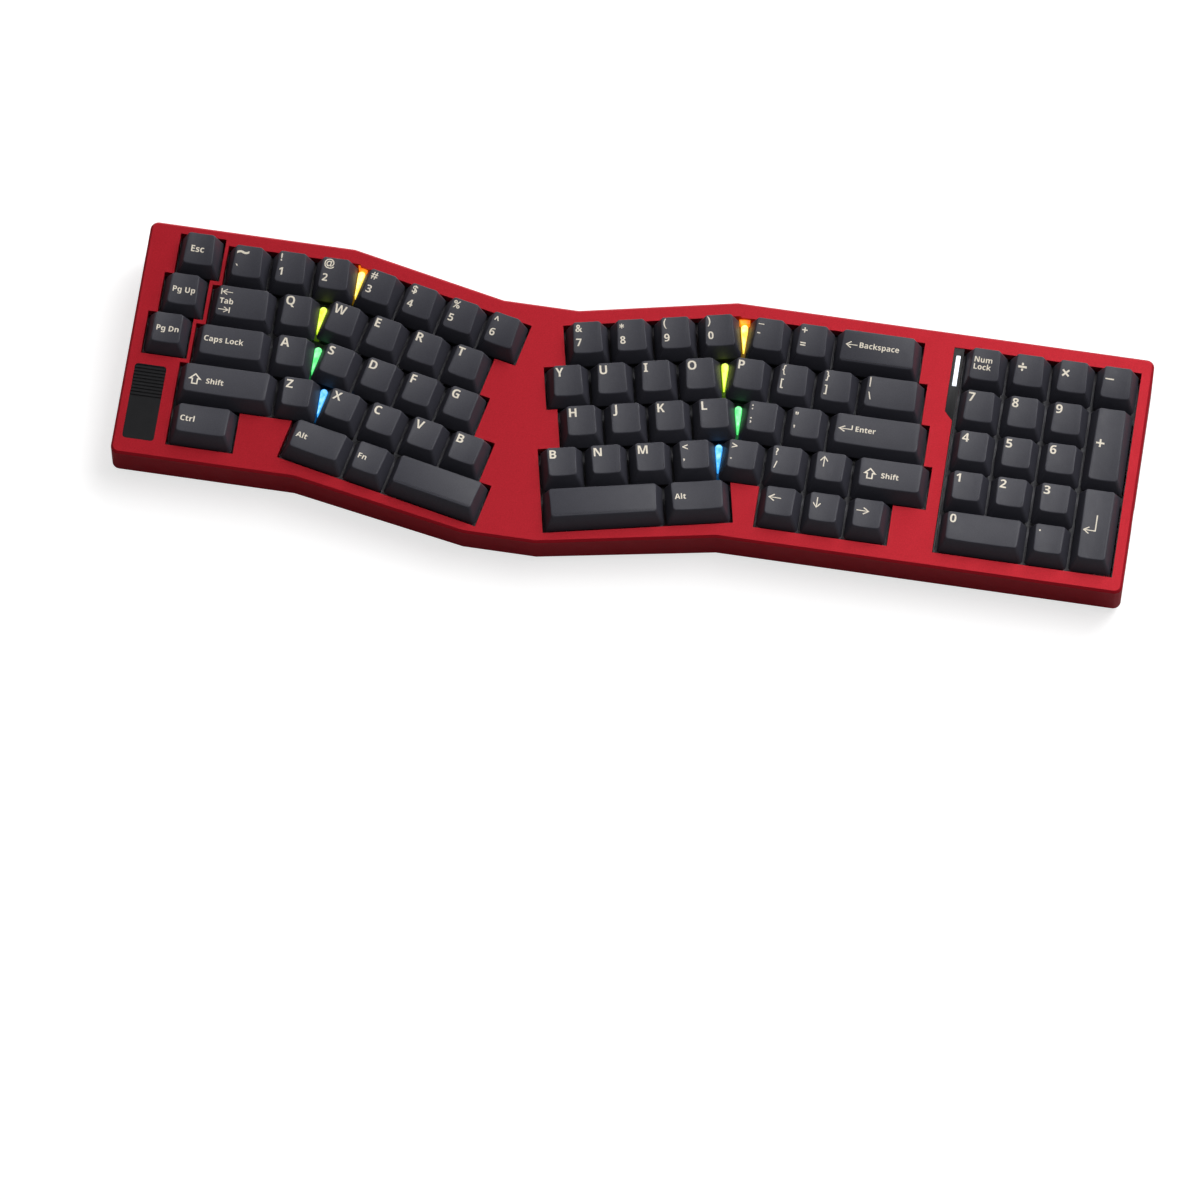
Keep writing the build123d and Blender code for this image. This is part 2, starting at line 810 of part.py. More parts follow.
# Switch housings: a square body through the plate and a tapered tower over it
with BuildPart() as housing:
    with BuildSketch(Plane.XY.offset(-board_depth)):
        Rectangle(cutout_size - 2 * housing_fit, cutout_size - 2 * housing_fit)
    extrude(amount=board_depth - plate_depth)
    with BuildSketch(Plane.XY.offset(-plate_depth)):
        Rectangle(flange_size, flange_size)
    extrude(
        amount=tower_height,
        taper=math.degrees(math.atan((flange_size - tower_size) / 2 / tower_height)),
    )
    with BuildSketch(Plane.XY.offset(-bore_depth)):
        Rectangle(slider_size + 2 * slider_fit, slider_size + 2 * slider_fit)
    extrude(amount=bore_depth, mode=Mode.SUBTRACT)

with BuildPart() as switch_housings:
    with Locations(*[seat(field, x, y) for field, x, y in switch_seats]):
        add(housing.part)

switch_housings.part.label = "switch_housings"
export_step(switch_housings.part, "parts/switch_housings.step")

# Stabiliser housings, with a bore like the switches'
with BuildPart() as stabiliser:
    with BuildSketch(Plane.XY.offset(-board_depth)):
        with Locations((0, stabiliser_middle)):
            Rectangle(stabiliser_width, stabiliser_depth)
    extrude(amount=board_depth - plate_depth + stabiliser_rise)
    with BuildSketch(Plane.XY.offset(-bore_depth)):
        Rectangle(stabiliser_slider + 2 * slider_fit, stabiliser_slider + 2 * slider_fit)
    extrude(amount=bore_depth, mode=Mode.SUBTRACT)

with BuildPart() as stabiliser_housings:
    with Locations(*[seat(field, x, y, 0, turn) for field, x, y, turn in stabiliser_seats]):
        add(stabiliser.part)

stabiliser_housings.part.label = "stabiliser_housings"
export_step(stabiliser_housings.part, "parts/stabiliser_housings.step")

# Stabiliser wires: each a bar along the front of two housings, with an arm back along each side
wire_y = -stabiliser_front - wire_radius
wire_x = (stabiliser_spacing + stabiliser_width) / 2 + wire_radius
wire_z = -plate_depth + wire_radius
with BuildPart() as wire:
    with BuildLine() as wire_line:
        Polyline(
            (-wire_x, wire_y + wire_arm, wire_z),
            (-wire_x, wire_y, wire_z),
            (wire_x, wire_y, wire_z),
            (wire_x, wire_y + wire_arm, wire_z),
        )
    with BuildSketch(Plane(origin=wire_line.line @ 0, z_dir=wire_line.line % 0)):
        RegularPolygon(wire_radius, 6)
    sweep(transition=Transition.RIGHT)

wire_seats = [
    seat(key.field, key.x, key.y, 0, stabiliser_places(key)[0][2])
    for key in keys
    if stabiliser_places(key)
]
with BuildPart() as stabiliser_wires:
    with Locations(*wire_seats):
        add(wire.part)

stabiliser_wires.part.label = "stabiliser_wires"
export_step(stabiliser_wires.part, "parts/stabiliser_wires.step")

# Gasket strips that carry the plate under the deck
gasket_xs = (left_gasket, *[case_width - place for place in right_gaskets])
gasket_spots = [(x, side * (rear_edge - gasket_inset)) for x in gasket_xs for side in (-1, 1)]
with BuildPart() as gasket_strips:
    with BuildSketch(deck.offset(-top_thickness)):
        with Locations(*gasket_spots):
            Rectangle(gasket_length, gasket_width)
    extrude(amount=-gasket_thickness)

gasket_strips.part.label = "gasket_strips"
export_step(gasket_strips.part, "parts/gasket_strips.step")

# Ridged panel: grooves across its rear half
with BuildPart() as badge_panel:
    with BuildSketch(deck):
        with Locations(badge_centre):
            RectangleRounded(badge_width, badge_length, badge_radius)
    extrude(amount=-badge_depth)
    first_groove = badge_centre[1] + (badge_length - groove_pitch) / 2
    grooves = [
        (badge_centre[0], first_groove - groove * groove_pitch) for groove in range(groove_count)
    ]
    with BuildSketch(deck):
        with Locations(*grooves):
            Rectangle(badge_width, groove_width)
    extrude(amount=-groove_depth, mode=Mode.SUBTRACT)

badge_panel.part.label = "badge_panel"
export_step(badge_panel.part, "parts/badge_panel.step")

# Black trim with a slot for the lens
lens_centre = (trim_right - lens_inset[0], trim_rear - lens_inset[1])
with BuildPart() as indicator_trim:
    with BuildSketch(deck.offset(-trim_sink)):
        with BuildLine():
            Polyline(*trim_corners, close=True)
        make_face()
    extrude(amount=-trim_depth)
    with BuildSketch(deck.offset(-trim_sink)):
        with Locations(lens_centre):
            Rectangle(lens_width, lens_length)
    extrude(amount=-lens_depth, mode=Mode.SUBTRACT)

indicator_trim.part.label = "indicator_trim"
export_step(indicator_trim.part, "parts/indicator_trim.step")

with BuildPart() as indicator_lens:
    with BuildSketch(deck.offset(-trim_sink)):
        with Locations(lens_centre):
            Rectangle(lens_width, lens_length)
    extrude(amount=-lens_depth)

indicator_lens.part.label = "indicator_lens"
export_step(indicator_lens.part, "parts/indicator_lens.step")

# Light guides: drops with a broad bevelled head to the rear, one in each wedge beside the fans
pairs = [(left_spans[row], left_fan_spans[row], 1) for row in range(wedge_rows)]
pairs += [(right_spans[row], right_fan_spans[row], -1) for row in range(wedge_rows)]
head = guide_widths[0] / 2
tail = guide_widths[1] / 2
with BuildPart() as light_guides:
    with BuildSketch(deck.offset(-plate_depth)):
        for block, fan, side in pairs:
            block_x = block.right if side > 0 else block.left
            fan_x = fan.left if side > 0 else fan.right
            corner = (fan.field * Location((fan_x, fan.rear, 0))).position
            lean = math.tan(math.radians(fan_angle)) * side
            head_y = block.rear - guide_start - head
            tail_y = block.rear - guide_start - guide_length
            head_x = (block_x + corner.X - (corner.Y - head_y) * lean) / 2
            tail_x = (block_x + corner.X - (corner.Y - tail_y) * lean) / 2
            with BuildLine():
                Polyline(
                    (head_x - head, head_y),
                    (head_x - tail, head_y + head),
                    (head_x + tail, head_y + head),
                    (head_x + head, head_y),
                    (tail_x + tail, tail_y),
                    (tail_x - tail, tail_y),
                    close=True,
                )
            make_face()
    extrude(amount=guide_height)

light_guides.part.label = "light_guides"
export_step(light_guides.part, "parts/light_guides.step")

# Cable socket on the rear edge of the board: a shell with a tongue
mouth_y = dip_edge - socket_set_back
with BuildPart() as usb_socket:
    with BuildSketch(on_deck(dip_centre, mouth_y, plug_depth, deck.y_dir)):
        SlotOverall(socket_width, socket_height)
    extrude(amount=-socket_length)
    with BuildSketch(on_deck(dip_centre, mouth_y, plug_depth, deck.y_dir)):
        SlotOverall(socket_width - 2 * socket_wall, socket_height - 2 * socket_wall)
        Rectangle(tongue_width, tongue_height, mode=Mode.SUBTRACT)
    extrude(amount=-socket_length + socket_back, mode=Mode.SUBTRACT)
    with BuildSketch(on_deck(dip_centre, mouth_y, plug_depth, deck.y_dir)):
        Rectangle(tongue_width, tongue_height)
    extrude(amount=-socket_set_back, mode=Mode.SUBTRACT)

usb_socket.part.label = "usb_socket"
export_step(usb_socket.part, "parts/usb_socket.step")

# Screws, from below
with BuildPart() as case_screws:
    for spots, grip in ((rear_screws, rear_screw_grip), (nose_screws, nose_screw_grip)):
        with BuildSketch(deck.offset(-floor_depth - grip)):
            with Locations(*spots):
                RegularPolygon(screw_radius, screw_sides)
        extrude(amount=screw_length)
        with BuildSketch(deck.offset(-floor_depth - grip)):
            with Locations(*spots):
                RegularPolygon(head_radius, screw_sides)
        extrude(amount=-head_height)

case_screws.part.label = "case_screws"
export_step(case_screws.part, "parts/case_screws.step")
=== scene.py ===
import json
import math
from collections import namedtuple

import bmesh
import bpy
from mathutils import Matrix, Vector

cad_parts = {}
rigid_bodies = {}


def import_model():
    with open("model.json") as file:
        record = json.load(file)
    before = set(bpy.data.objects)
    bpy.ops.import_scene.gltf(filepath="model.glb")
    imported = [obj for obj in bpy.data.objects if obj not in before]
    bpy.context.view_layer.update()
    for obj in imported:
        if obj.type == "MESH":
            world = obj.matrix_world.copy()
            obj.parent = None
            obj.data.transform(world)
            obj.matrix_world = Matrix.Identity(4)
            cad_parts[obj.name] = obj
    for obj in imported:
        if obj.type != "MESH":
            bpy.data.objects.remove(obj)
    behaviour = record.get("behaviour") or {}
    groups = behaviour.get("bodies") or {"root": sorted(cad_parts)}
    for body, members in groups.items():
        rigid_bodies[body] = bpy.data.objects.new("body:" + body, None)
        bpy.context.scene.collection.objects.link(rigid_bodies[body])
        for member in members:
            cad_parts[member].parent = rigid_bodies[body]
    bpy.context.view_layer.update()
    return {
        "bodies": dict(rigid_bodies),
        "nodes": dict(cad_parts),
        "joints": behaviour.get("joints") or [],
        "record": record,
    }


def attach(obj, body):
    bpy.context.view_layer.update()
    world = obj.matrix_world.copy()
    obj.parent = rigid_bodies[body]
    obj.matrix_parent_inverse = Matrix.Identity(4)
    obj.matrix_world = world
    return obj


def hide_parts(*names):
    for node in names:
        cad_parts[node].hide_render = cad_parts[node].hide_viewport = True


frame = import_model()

nodes = frame["nodes"]
mm = 0.001

# The sloping deck: x to the right from the case's left side, y to the rear, z up from its face
case_width = 440 * mm
deck_middle = (-case_width / 2, 5.12804 * mm, 28.0944 * mm)
deck = Matrix.Translation(deck_middle) @ Matrix.Rotation(math.radians(6.5), 4, "X")

# Key grid
unit = 19.05 * mm
row_count = 5
left_margin = 6.1 * mm
left_row_step = 4.0 * mm
page_lift = 2.75 * mm
page_gap = 2.45 * mm
fan_turn = math.radians(12)
left_fan_meeting = (-0.92 * mm, -1.2 * mm)
fan_gap = 0.17 * mm
right_fan_meeting = (-0.35 * mm, 0.95 * mm)
right_row_step = 3.73 * mm
number_gap = 7.11 * mm
cap_gap = 1.0 * mm
skirt_depth = 1.5 * mm
cap_heights = [height * mm for height in (9.4, 7.7, 7.5, 8.0, 7.9)]
cap_leans = (8.0, 5.0, 1.0, -4.0, -5.0)
cap_wall = 1.5 * mm
cap_roof = 2.5 * mm
side_draft = 2.9 * mm
rear_draft = 1.25 * mm
front_draft = 3.35 * mm
dish_depth = 0.36 * mm
crown_height = 0.35 * mm
corner_round = 1.35 * mm
rim_round = 0.4 * mm
slider_size = 6.4 * mm
stabiliser_slider = 4.6 * mm
stabiliser_spacing = 23.8 * mm
slider_reach = 5.5 * mm

# Light guides in the wedges beside the fans
plate_depth = 8.0 * mm
guide_start = 2.0 * mm
guide_head = 1.55 * mm
guide_tail = 0.35 * mm
guide_length = 10.2 * mm
guide_height = 6.2 * mm
guide_bevel = 0.2 * mm
drop_bevel = 0.3 * mm
# Width at the rear and the front, place of the rear and the front, and height
guide_frame = (5.6 * mm, 2.0 * mm, 2.4 * mm, -12.4 * mm, 2.5 * mm)
orange_head = (4.8 * mm, 3.4 * mm, 3.95 * mm, 1.75 * mm, 6.5 * mm)


# Where the keys stand, and what is printed on each

Key = namedtuple("Key", "node name field x y width depth row legend")
straight = Matrix.Identity(4)
keys = []


def row_y(row):
    return ((row_count - 1) / 2 - row) * unit


def fan_y(row):
    return unit / 2 - row * unit


def lay_row(field, row, y, left, caps):
    """Lays caps side by side. Each is its node, its width in units, and its legend."""
    x = left
    for node, width, legend in caps:
        name = f"cap_{row}_{len(keys)}"
        keys.append(Key(node, name, field, x + width * unit / 2, y, width, 1, row, legend))
        x += width * unit
    return left, x


page_left = left_margin + 2 * left_row_step
page_keys = (("key_escape", "Esc"), ("key_page_up", "Pg Up"), ("key_page_down", "Pg Dn"))
for row, (node, word) in enumerate(page_keys):
    lay_row(straight, row, row_y(row) + page_lift, page_left - row * left_row_step, [(node, 1, word)])

left_block = (
    [("keys_tilde_1_2", 1, pair) for pair in ("~`", "!1", "@2")],
    [("key_tab", 1.5, "Tab"), ("key_q", 1, "Q")],
    [("key_caps_lock", 1.75, "Caps Lock"), ("key_a", 1, "A")],
    [("key_shift_left", 2.25, "Shift"), ("key_z", 1, "Z")],
    [("key_ctrl", 1.5, "Ctrl")],
)
left_edge = page_left + unit + page_gap
left_ends = [
    lay_row(straight, row, row_y(row), left_edge - min(row, 3) * left_row_step, caps)[1]
    for row, caps in enumerate(left_block)
]

fan_corner = Vector(
    (left_ends[0] + left_fan_meeting[0], row_y(0) - unit / 2 + left_fan_meeting[1], 0)
)
left_fan = Matrix.Translation(fan_corner) @ Matrix.Rotation(-fan_turn, 4, "Z")
left_fan_rows = (
    [("keys_3_to_6", 1, pair) for pair in ("#3", "$4", "%5", "^6")],
    [("keys_w_to_t", 1, letter) for letter in "WERT"],
    [("keys_s_to_g", 1, letter) for letter in "SDFG"],
    [("keys_x_to_b", 1, letter) for letter in "XCVB"],
    [("key_alt_left", 1.5, "Alt"), ("key_meta", 1, "Fn"), ("key_space_left", 2.25, "")],
)
left_fan_ends = [
    lay_row(left_fan, row, fan_y(row), (0, -0.5, -0.25, 0.25, -0.2)[row] * unit, caps)[0]
    for row, caps in enumerate(left_fan_rows)
]

fan_corner = Vector(
    (fan_corner.x + 9 * unit + fan_gap, row_y(0) - unit / 2 + right_fan_meeting[1], 0)
)
right_fan = Matrix.Translation(fan_corner) @ Matrix.Rotation(fan_turn, 4, "Z")
right_fan_rows = (
    [("keys_7_to_0", 1, pair) for pair in ("&7", "*8", "(9", ")0")],
    [("keys_y_to_o", 1, letter) for letter in "YUIO"],
    [("keys_h_to_l", 1, letter) for letter in "HJKL"],
    [("keys_b_to_comma", 1, legend) for legend in ("B", "N", "M", "<,")],
    [("key_space_right", 2.75, ""), ("key_alt_right", 1.5, "Alt")],
)
right_fan_ends = [
    lay_row(right_fan, row, fan_y(row), ((0, -0.5, -0.25, -0.75, -0.75)[row] - 4) * unit, caps)[1]
    for row, caps in enumerate(right_fan_rows)
]

right_block = (
    [("keys_minus_equals", 1, pair) for pair in ("_-", "+=")] + [("key_backspace", 2, "Backspace")],
    [("keys_p_to_bracket", 1, legend) for legend in ("P", "{[", "}]")]
    + [("key_backslash", 1.5, "|\\")],
    [("keys_semicolon_quote", 1, pair) for pair in (":;", "\"'")] + [("key_enter", 2.25, "Enter")],
    [("keys_dot_slash_up", 1, legend) for legend in (">.", "?/", "↑")]
    + [("key_shift_right", 1.75, "Shift")],
    [("keys_arrows", 1, arrow) for arrow in "←↓→"],
)
right_edge = fan_corner.x - right_fan_meeting[0]
right_ends = [
    lay_row(
        straight,
        row,
        row_y(row),
        right_edge + (0, -0.5, -0.25, -0.75, 0.25)[row] * unit + min(row, 3) * right_row_step,
        caps,
    )
    for row, caps in enumerate(right_block)
]
number_edge = max(right for left, right in right_ends) + number_gap

number_block = (
    [("keys_num_top", 1, legend) for legend in ("Num\nLock", "÷", "×", "−")],
    [("keys_num_7_8_9", 1, digit) for digit in "789"],
    [("keys_num_4_5_6", 1, digit) for digit in "456"],
    [("keys_num_1_2_3", 1, digit) for digit in "123"],
    [("key_num_0", 2, "0"), ("key_num_dot", 1, ".")],
)
for row, caps in enumerate(number_block):
    lay_row(straight, row, row_y(row), number_edge, caps)
last_x = number_edge + 3.5 * unit
keys.append(Key("key_num_plus", "cap_plus", straight, last_x, row_y(1.5), 1, 2, 1, "+"))
keys.append(Key("key_num_enter", "cap_num_enter", straight, last_x, row_y(3.5), 1, 2, 3, "↵"))


# Modelling

def alone(piece):
    """Selects one piece and nothing else, so that an operator acts on it alone."""
    bpy.ops.object.select_all(action="DESELECT")
    piece.select_set(True)
    bpy.context.view_layer.objects.active = piece


def block(name, centre, size):
    """A box primitive, with its place and size put in its mesh."""
    bpy.ops.object.select_all(action="DESELECT")
    bpy.ops.mesh.primitive_cube_add(size=1, location=centre, scale=size)
    piece = bpy.context.object
    piece.name = name
    bpy.ops.object.transform_apply(location=True, rotation=True, scale=True)
    return piece


def choose(piece, kind, wanted):
    """Goes into edit mode and selects the points, edges or faces that a test picks."""
    alone(piece)
    bpy.ops.object.mode_set(mode="EDIT")
    bpy.ops.mesh.select_mode(type=kind)
    bpy.ops.mesh.select_all(action="DESELECT")
    form = bmesh.from_edit_mesh(piece.data)
    for part in {"VERT": form.verts, "EDGE": form.edges, "FACE": form.faces}[kind]:
        if wanted(part):
            part.select_set(True)
    form.select_flush_mode()
    bmesh.update_edit_mesh(piece.data)


def leave():
    bpy.ops.object.mode_set(mode="OBJECT")


def apply(piece, kind, **settings):
    """Puts a modifier on a piece and applies it."""
    change = piece.modifiers.new("change", kind)
    for name, value in settings.items():
        setattr(change, name, value)
    alone(piece)
    bpy.ops.object.modifier_apply(modifier=change.name)


def join(pieces):
    alone(pieces[0])
    for piece in pieces[1:]:
        piece.select_set(True)
    bpy.ops.object.join()
    return pieces[0]


def sharp_between(edge, steep=0.82, flat=0.9):
    """Whether an edge lies between a flat top and a steeper side."""
    if len(edge.link_faces) != 2:
        return False
    rises = sorted(face.normal.z for face in edge.link_faces)
    return rises[0] < steep and rises[1] > flat


def model_cap(key):
    """A hollow cap with a dished or crowned top and its slider, standing on its own centre."""
    width = key.width * unit - cap_gap
    depth = key.depth * unit - cap_gap
    height = cap_heights[key.row]
    crowned = "space" in key.node
    lean = math.radians(cap_leans[key.row] / key.depth)
    slope = math.tan(lean)
    shift = (front_draft - rear_draft) / 2
    front_share = (height - slope * (depth / 2 + shift)) / (height - slope * front_draft)
    rear_share = (height + slope * (depth / 2 - shift)) / (height + slope * rear_draft)
    top_z = height - skirt_depth
    lift = crown_height if crowned else 0

    # The top is drawn in and leant, edge by edge
    cap = block("cap", (0, 0, height / 2 - skirt_depth), (width, depth, height))
    for side, share, draft in ((-1, front_share, front_draft), (1, rear_share, -rear_draft)):
        choose(cap, "VERT", lambda vert: vert.co.z > 0 and vert.co.y * side > 0)
        drawn = (width / 2 - side_draft * share) / (width / 2)
        bpy.ops.transform.translate(value=(0, draft * share, height * (share - 1) + lift))
        bpy.ops.transform.resize(value=(drawn, 1, 1), center_override=(0, 0, 0))
        leave()

    # The hollow is drawn up from the underside with the same drafts
    share = (height - cap_roof) / height
    choose(cap, "FACE", lambda face: face.normal.z < -0.9)
    bpy.ops.mesh.inset(thickness=cap_wall)
    bpy.ops.mesh.extrude_region_move(TRANSFORM_OT_translate={"value": (0, 0, height - cap_roof)})
    inner_width = width - 2 * cap_wall
    inner_depth = depth - 2 * cap_wall
    bpy.ops.transform.resize(
        value=(
            1 - 2 * side_draft * share / inner_width,
            1 - (front_draft + rear_draft) * share / inner_depth,
            1,
        ),
        center_override=(0, 0, 0),
    )
    bpy.ops.transform.translate(value=(0, shift * share, 0))
    leave()

    # The four slanting corners are rounded
    choose(
        cap,
        "EDGE",
        lambda edge: abs(edge.verts[0].co.z - edge.verts[1].co.z) > 3 * mm
        and max(abs(vert.co.x) for vert in edge.verts) > width / 2 - 0.1 * mm,
    )
    bpy.ops.mesh.bevel(offset=corner_round, segments=4, clamp_overlap=False)
    leave()

    # A finger dish along the top, or a crown across it
    if crowned:
        top_depth = depth - front_draft - rear_draft
        radius = (top_depth / 2) ** 2 / (2 * crown_height) + crown_height / 2
        normal = Vector((0, -math.sin(lean), math.cos(lean)))
        centre = Vector((0, shift, top_z + crown_height)) - normal * radius
        bpy.ops.object.select_all(action="DESELECT")
        bpy.ops.mesh.primitive_cylinder_add(
            vertices=360, radius=radius, depth=2 * width, location=centre, rotation=(0, math.pi / 2, 0)
        )
        operation = "INTERSECT"
    else:
        half_top = width / 2 - side_draft
        radius = (half_top**2 + dish_depth**2) / (2 * dish_depth)
        normal = Vector((0, -math.sin(lean), math.cos(lean)))
        centre = Vector((0, shift, top_z)) + normal * (radius - dish_depth)
        bpy.ops.object.select_all(action="DESELECT")
        bpy.ops.mesh.primitive_cylinder_add(
            vertices=max(180, round(math.tau * radius / (2 * mm))),
            radius=radius,
            depth=2 * depth,
            location=centre,
            rotation=(lean - math.pi / 2, 0, 0),
        )
        operation = "DIFFERENCE"
    cutter = bpy.context.object
    apply(cap, "BOOLEAN", object=cutter, operation=operation, solver="EXACT")
    bpy.data.objects.remove(cutter)

    # The rim of the top is rounded over
    choose(cap, "EDGE", lambda edge: min(vert.co.z for vert in edge.verts) > 0 and sharp_between(edge))
    bpy.ops.mesh.bevel(offset=rim_round, segments=3, clamp_overlap=False)
    leave()

    # The slider runs in the switch, and a long cap has two more in its stabilisers
    ceiling = top_z - cap_roof
    reach = ceiling + slider_reach + 0.3 * mm
    middle = (ceiling + 0.3 * mm) - reach / 2
    parts = [cap, block("slider", (0, 0, middle), (slider_size, slider_size, reach))]
    if key.width >= 2 or key.depth >= 2:
        for side in (-0.5, 0.5):
            offset = side * stabiliser_spacing
            place = (offset, 0) if key.width >= 2 else (0, offset)
            size = (stabiliser_slider, stabiliser_slider, reach)
            parts.append(block("slider", (*place, middle), size))
    cap = join(parts)
    bpy.ops.object.shade_smooth_by_angle(angle=math.radians(32))
    return cap


def soften(node, width, segments=2):
    """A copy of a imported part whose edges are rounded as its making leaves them."""
    piece = nodes[node].copy()
    piece.data = nodes[node].data.copy()
    for note in list(piece.keys()):
        del piece[note]
    piece.parent = None
    piece.name = node + "_rounded"
    bpy.context.scene.collection.objects.link(piece)
    choose(piece, "VERT", lambda vert: True)
    bpy.ops.mesh.remove_doubles(threshold=0.002 * mm)
    bpy.ops.mesh.dissolve_limited(angle_limit=math.radians(1))
    leave()
    apply(
        piece,
        "BEVEL",
        width=width,
        segments=segments,
        limit_method="ANGLE",
        angle_limit=math.radians(35),
    )
    bpy.ops.object.shade_smooth_by_angle(angle=math.radians(32))
    apply(piece, "WEIGHTED_NORMAL", keep_sharp=True)
    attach(piece, "case")
    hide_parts(node)
    return piece


def wedge(name, rear_width, front_width, rear, front, height):
    """A bevelled block that narrows to the front."""
    piece = block(name, (0, (rear + front) / 2, height / 2), (rear_width, rear - front, height))
    choose(piece, "VERT", lambda vert: vert.co.y < (rear + front) / 2)
    bpy.ops.transform.resize(value=(front_width / rear_width, 1, 1), center_override=(0, 0, 0))
    leave()
    choose(piece, "EDGE", lambda edge: min(vert.co.z for vert in edge.verts) > height / 2)
    bpy.ops.mesh.bevel(offset=guide_bevel, segments=3)
    leave()
    return piece


def model_guide():
    """A clear drop with its round head at the origin and its tail to the front, in a low frame."""
    bpy.ops.object.select_all(action="DESELECT")
    bpy.ops.mesh.primitive_circle_add(vertices=28, radius=guide_head, fill_type="NGON")
    drop = bpy.context.object
    choose(drop, "VERT", lambda vert: vert.co.y < -0.01 * guide_head)
    narrow = guide_tail / guide_head
    bpy.ops.transform.resize(value=(narrow, narrow, 1), center_override=(0, 0, 0))
    bpy.ops.transform.translate(value=(0, -guide_length, 0))
    leave()
    choose(drop, "FACE", lambda face: True)
    bpy.ops.mesh.extrude_region_move(TRANSFORM_OT_translate={"value": (0, 0, guide_height)})
    bpy.ops.mesh.select_all(action="SELECT")
    bpy.ops.mesh.normals_make_consistent(inside=False)
    leave()
    choose(drop, "EDGE", lambda edge: min(vert.co.z for vert in edge.verts) > guide_height / 2)
    bpy.ops.mesh.bevel(offset=drop_bevel, segments=4)
    leave()
    frame = wedge("frame", *guide_frame)
    for piece in (drop, frame):
        paint(piece, *guide_lights[0])
    for face in drop.data.polygons:
        face.material_index = 0 if face.normal.z > 0.9 else 1
    # The frame's faces take slot 2, whose glow is painted light from the guide
    for face in frame.data.polygons:
        face.material_index = 2
    join([drop, frame])
    bpy.ops.object.shade_smooth_by_angle(angle=math.radians(50))
    return drop


# Legends. The capitals of the heavy alphabet are 0.714 of its size.
capital = 0.714
ink_rise = 0.06 * mm
ink_depth = 1.5 * ink_rise
ink_spread = 0.07 * mm
print_height = 20 * mm
word_capitals = {"Esc": 2.8, "Pg Up": 2.5, "Pg Dn": 2.5, "Ctrl": 2.6, "Num\nLock": 2.4}
# Signs drawn to their own size, and legends made of several marks: see legend_marks
symbols = {
    "÷": (1.2, 0.43, 3.7, 3.7),
    "×": (1.2, 0.43, 3.3, 3.3),
    "−": (1.1, 0.43, 3.7, 0.6),
    "+": (1.1, 0.5, 3.6, 3.6),
    "←": (0.9, 0.39, 5.6, 3.4),
    "→": (1.2, 0.42, 5.6, 3.4),
    "↑": (1.5, 0.33, 3.5, 5.2),
    "↓": (1.2, 0.36, 3.5, 5.2),
    ".": (1.4, 0.23, 0.8, 0.8),
    "~": (1.0, 0.24, 5.2, 1.7),
}
words = {
    "↵": [("←", 0.9, 0.59, 5.6, 3.4), ("|", 6.0, 0.472, 0.55, 7.4)],
    "Tab": [
        ("|", 1.0, 0.22, 0.5, 2.6),
        ("←", 1.5, 0.22, 4.6, 2.6),
        ("Tab", 1.0, 0.52, None, 2.4),
        ("→", 0.9, 0.82, 4.6, 2.6),
        ("|", 5.5, 0.82, 0.5, 2.6),
    ],
    "Shift": [("⇧", 1.6, 0.53, 5.8, 5.3), ("Shift", 9.4, 0.55, None, 2.4)],
    "Backspace": [("←", 1.5, 0.5, 5.2, 3.0), ("Backspace", 7.6, 0.5, None, 2.4)],
    "Enter": [
        ("←", 1.2, 0.52, 6.0, 2.8),
        ("|", 6.9, 0.455, 0.5, 2.1),
        ("Enter", 8.7, 0.48, None, 2.4),
    ],
}


def legend_marks(key):
    """A cap's marks: the text, mm from the top's left edge, share of its depth from the rear edge,
    and either the height of capitals, or a symbol's own width and height, in mm."""
    text = key.legend
    if text in words:
        return words[text]
    if text in symbols:
        return [(text, *symbols[text])]
    if len(text) == 1:
        return [(text, 0.95, 0.235, None, 3.95)]
    if len(text) == 2 and text != "Fn":
        upper, lower = text
        top_mark = (upper, *symbols[upper]) if upper == "~" else (upper, 1.1, 0.22, None, 3.3)
        return [top_mark, (lower, 1.1, 0.52 if lower == "-" else 0.68, None, 3.3)]
    if text:
        left = {"Esc": 2.4, "Pg Up": 1.5, "Pg Dn": 1.5}.get(text, 1.2)
        share = {"Esc": 0.53, "Pg Up": 0.57, "Pg Dn": 0.57}.get(text, 0.5)
        return [(text, left, share, None, word_capitals.get(text, 2.5))]
    return []


def heavy(text):
    """The same letters and digits in the heavy sans-serif alphabet of the built-in font."""
    starts = (("A", "Z", 0x1D5D4), ("a", "z", 0x1D5EE), ("0", "9", 0x1D7EC))
    for first, last, start in starts:
        text = "".join(
            chr(start + ord(sign) - ord(first)) if first <= sign <= last else sign for sign in text
        )
    return text


